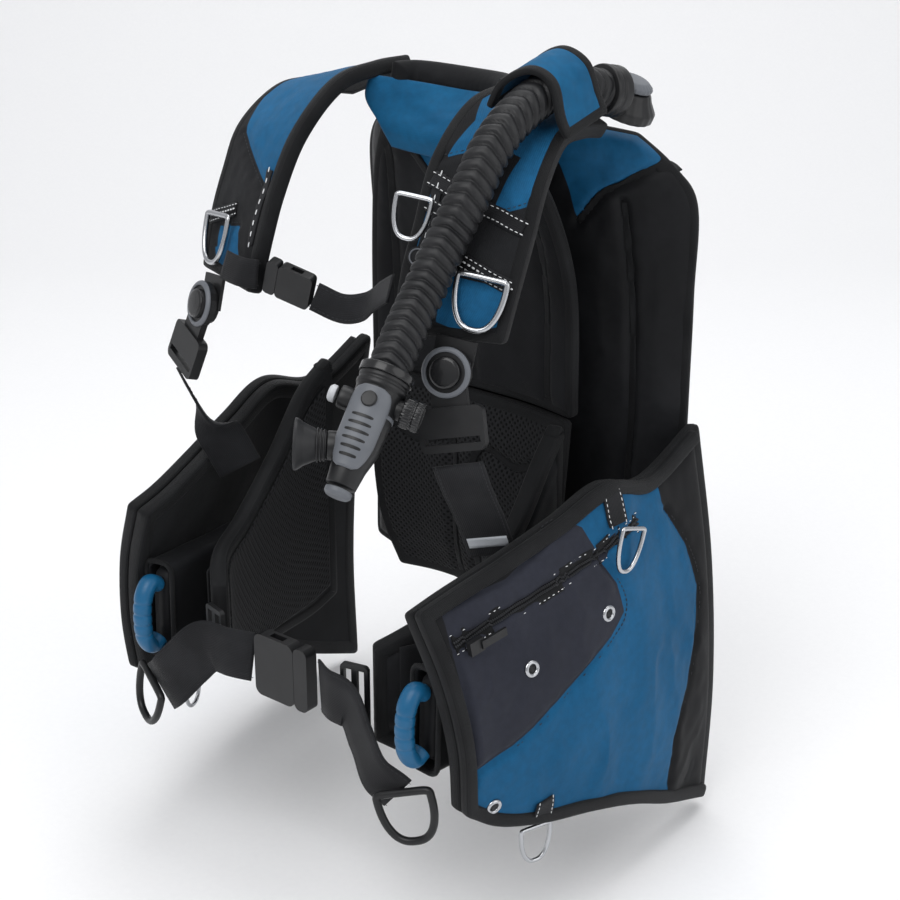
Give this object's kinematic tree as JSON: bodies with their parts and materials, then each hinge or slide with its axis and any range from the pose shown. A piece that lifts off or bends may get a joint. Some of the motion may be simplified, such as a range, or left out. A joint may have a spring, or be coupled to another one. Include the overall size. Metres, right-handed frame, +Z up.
{
  "type": "buoyancy compensator vest",
  "caption": "Jacket style scuba buoyancy vest with padded back, side lobes, shoulder straps, waist belt, tank band, weight pouches and an inflator hose",
  "frame": {"origin": "middle of the rubber face that the air tank rests on", "axes": "+Z up the wearer's back, the wearer faces -Y, the wearer's left arm is on +X, the tank lies on the +Y side"},
  "size_m": [0.484, 0.5352, 0.7222],
  "materials": {
    "nylon_black": "woven nylon, black",
    "nylon_blue": "woven nylon, navy blue",
    "nylon_charcoal": "padded woven nylon, charcoal",
    "mesh_black": "spacer mesh, black",
    "webbing": "woven webbing, black",
    "plastic_black": "moulded, satin black",
    "plastic_grey": "moulded, grey",
    "plastic_blue": "moulded, blue",
    "rubber": "matt black rubber",
    "stainless": "polished stainless wire"
  },
  "bodies": {
    "vest": {"backpack_plate": "plastic_black", "tank_pad": "rubber", "tank_band": "webbing", "cam_buckle": "plastic_black", "carry_handle": "rubber", "air_cell_back": "nylon_black", "back_pad": "mesh_black", "lumbar_pad": "mesh_black", "collar": "nylon_black", "lobe_left": "nylon_blue", "lobe_right": "nylon_blue", "pocket_left": "nylon_charcoal", "pocket_right": "nylon_charcoal", "cummerbund_left": "nylon_black", "cummerbund_right": "nylon_black", "weight_sleeve_left": "nylon_black", "weight_sleeve_right": "nylon_black", "strap_glide_left": "plastic_black", "strap_glide_right": "plastic_black", "waist_webbing_left": "webbing", "waist_webbing_right": "webbing", "waist_buckle_socket": "plastic_black", "shoulder_strap_left": "nylon_blue", "shoulder_strap_right": "nylon_blue", "swivel_base_left": "plastic_black", "swivel_base_right": "plastic_black", "shoulder_webbing_left": "webbing", "shoulder_webbing_right": "webbing", "chest_buckle_prongs": "plastic_black", "chest_webbing_left": "webbing", "chest_webbing_right": "webbing", "inflator_hose": "rubber", "shoulder_elbow": "plastic_black", "hose_flap": "nylon_blue", "inflator_body": "plastic_black", "mouthpiece": "plastic_grey"},
    "lever": {"cam_lever": "plastic_black"},
    "shoulder_ring_left_body": {"shoulder_d_ring_left": "stainless"},
    "shoulder_ring_right_body": {"shoulder_d_ring_right": "stainless"},
    "pocket_ring_left_body": {"pocket_d_ring_left": "stainless"},
    "pocket_ring_right_body": {"pocket_d_ring_right": "stainless"},
    "hip_ring_left_body": {"hip_d_ring_left": "stainless"},
    "hip_ring_right_body": {"hip_d_ring_right": "stainless"},
    "pull_ring_hinge_left_body": {"pull_ring_left": "plastic_black"},
    "pull_ring_hinge_right_body": {"pull_ring_right": "plastic_black"},
    "chest_ring_body": {"chest_d_ring": "stainless"},
    "swivel_left_body": {"swivel_buckle_left": "plastic_black"},
    "swivel_right_body": {"swivel_buckle_right": "plastic_black"},
    "zip_left_body": {"zip_slider_left": "stainless"},
    "zip_right_body": {"zip_slider_right": "stainless"},
    "weight_left_body": {"weight_pouch_left": "nylon_black", "weight_handle_left": "plastic_blue"},
    "weight_right_body": {"weight_pouch_right": "nylon_black", "weight_handle_right": "plastic_blue"},
    "waist_prongs_body": {"waist_buckle_prongs": "plastic_black"},
    "chest_socket_body": {"chest_buckle_socket": "plastic_black"},
    "inflate_button_body": {"inflate_button": "plastic_grey"},
    "deflate_button_body": {"deflate_button": "plastic_black"},
    "dump_cap_body": {"dump_cap": "plastic_grey"},
    "quick_connect_body": {"quick_connect": "plastic_black"}
  },
  "joints": [
    {"name": "cam_lever_hinge", "type": "hinge", "parent": "vest", "child": "lever", "pos_m": [0.023, 0.0922, -0.1], "axis": [0, 0, -1], "range_deg": [0, 120]},
    {"name": "shoulder_ring_left_swing", "type": "hinge", "parent": "vest", "child": "shoulder_ring_left_body", "pos_m": [0.14645, -0.26987, 0.21063], "axis": [0.9436, 0.3088, -0.1195], "range_deg": [-24, 2]},
    {"name": "shoulder_ring_right_swing", "type": "hinge", "parent": "vest", "child": "shoulder_ring_right_body", "pos_m": [-0.14645, -0.26987, 0.21063], "axis": [0.9436, -0.3088, 0.1195], "range_deg": [-75, 2]},
    {"name": "pocket_ring_left_swing", "type": "hinge", "parent": "vest", "child": "pocket_ring_left_body", "pos_m": [0.23, -0.168, -0.018], "axis": [0.0949, 0.9493, -0.2998], "range_deg": [-80, 4]},
    {"name": "pocket_ring_right_swing", "type": "hinge", "parent": "vest", "child": "pocket_ring_right_body", "pos_m": [-0.23, -0.168, -0.018], "axis": [0.0949, -0.9493, 0.2998], "range_deg": [-80, 4]},
    {"name": "hip_ring_left_swing", "type": "hinge", "parent": "vest", "child": "hip_ring_left_body", "pos_m": [0.211, -0.274, -0.266], "axis": [0.3162, 0.9487, 0], "range_deg": [-70, 70]},
    {"name": "hip_ring_right_swing", "type": "hinge", "parent": "vest", "child": "hip_ring_right_body", "pos_m": [-0.211, -0.274, -0.266], "axis": [0.3162, -0.9487, 0], "range_deg": [-70, 70]},
    {"name": "pull_ring_hinge_left_swing", "type": "hinge", "parent": "vest", "child": "pull_ring_hinge_left_body", "pos_m": [0.15, -0.378, -0.205], "axis": [0.8839, 0.3642, 0.2935], "range_deg": [-70, 5]},
    {"name": "pull_ring_hinge_right_swing", "type": "hinge", "parent": "vest", "child": "pull_ring_hinge_right_body", "pos_m": [-0.15, -0.378, -0.205], "axis": [0.8839, -0.3642, -0.2935], "range_deg": [-70, 5]},
    {"name": "chest_ring_swing", "type": "hinge", "parent": "vest", "child": "chest_ring_body", "pos_m": [0.08345, -0.27687, 0.26663], "axis": [0.9436, 0.3088, -0.1195], "range_deg": [-80, 4]},
    {"name": "swivel_left_turn", "type": "hinge", "parent": "vest", "child": "swivel_left_body", "pos_m": [0.136, -0.3, 0.138], "axis": [0.3304, -0.9012, 0.2804], "range_deg": [-15, 15]},
    {"name": "swivel_right_turn", "type": "hinge", "parent": "vest", "child": "swivel_right_body", "pos_m": [-0.136, -0.3, 0.138], "axis": [0.3304, 0.9012, -0.2804], "range_deg": [-15, 15]},
    {"name": "zip_left_slide", "type": "slide", "parent": "vest", "child": "zip_left_body", "axis": [0.198, 0.9659, 0.1668], "range_m": [0, 0.125]},
    {"name": "zip_right_slide", "type": "slide", "parent": "vest", "child": "zip_right_body", "axis": [-0.198, 0.9659, 0.1668], "range_m": [0, 0.125]},
    {"name": "weight_left_slide", "type": "slide", "parent": "vest", "child": "weight_left_body", "axis": [-0.0815, -0.9961, 0.0349], "range_m": [0, 0.17]},
    {"name": "weight_right_slide", "type": "slide", "parent": "vest", "child": "weight_right_body", "axis": [0.0815, -0.9961, 0.0349], "range_m": [0, 0.17]},
    {"name": "waist_buckle_release", "type": "slide", "parent": "vest", "child": "waist_prongs_body", "axis": [1, 0, 0], "range_m": [0, 0.03], "deforming": ["waist_webbing_left"]},
    {"name": "chest_buckle_release", "type": "slide", "parent": "vest", "child": "chest_socket_body", "axis": [0.9045, 0.3015, -0.3015], "range_m": [0, 0.02], "deforming": ["chest_webbing_left"]},
    {"name": "inflate_press", "type": "slide", "parent": "vest", "child": "inflate_button_body", "axis": [0.8508, 0.4301, -0.302], "range_m": [0, 0.002], "stiffness_N_per_m": 400},
    {"name": "deflate_press", "type": "slide", "parent": "vest", "child": "deflate_button_body", "axis": [-0.0741, 0.6671, 0.7413], "range_m": [0, 0.002], "stiffness_N_per_m": 400},
    {"name": "dump_pull", "type": "slide", "parent": "vest", "child": "dump_cap_body", "axis": [0.3505, 0.1001, 0.9312], "range_m": [0, 0.004], "stiffness_N_per_m": 400},
    {"name": "quick_connect_pull", "type": "slide", "parent": "vest", "child": "quick_connect_body", "axis": [0.8508, 0.4301, -0.302], "range_m": [0, 0.004], "stiffness_N_per_m": 400}
  ]
}
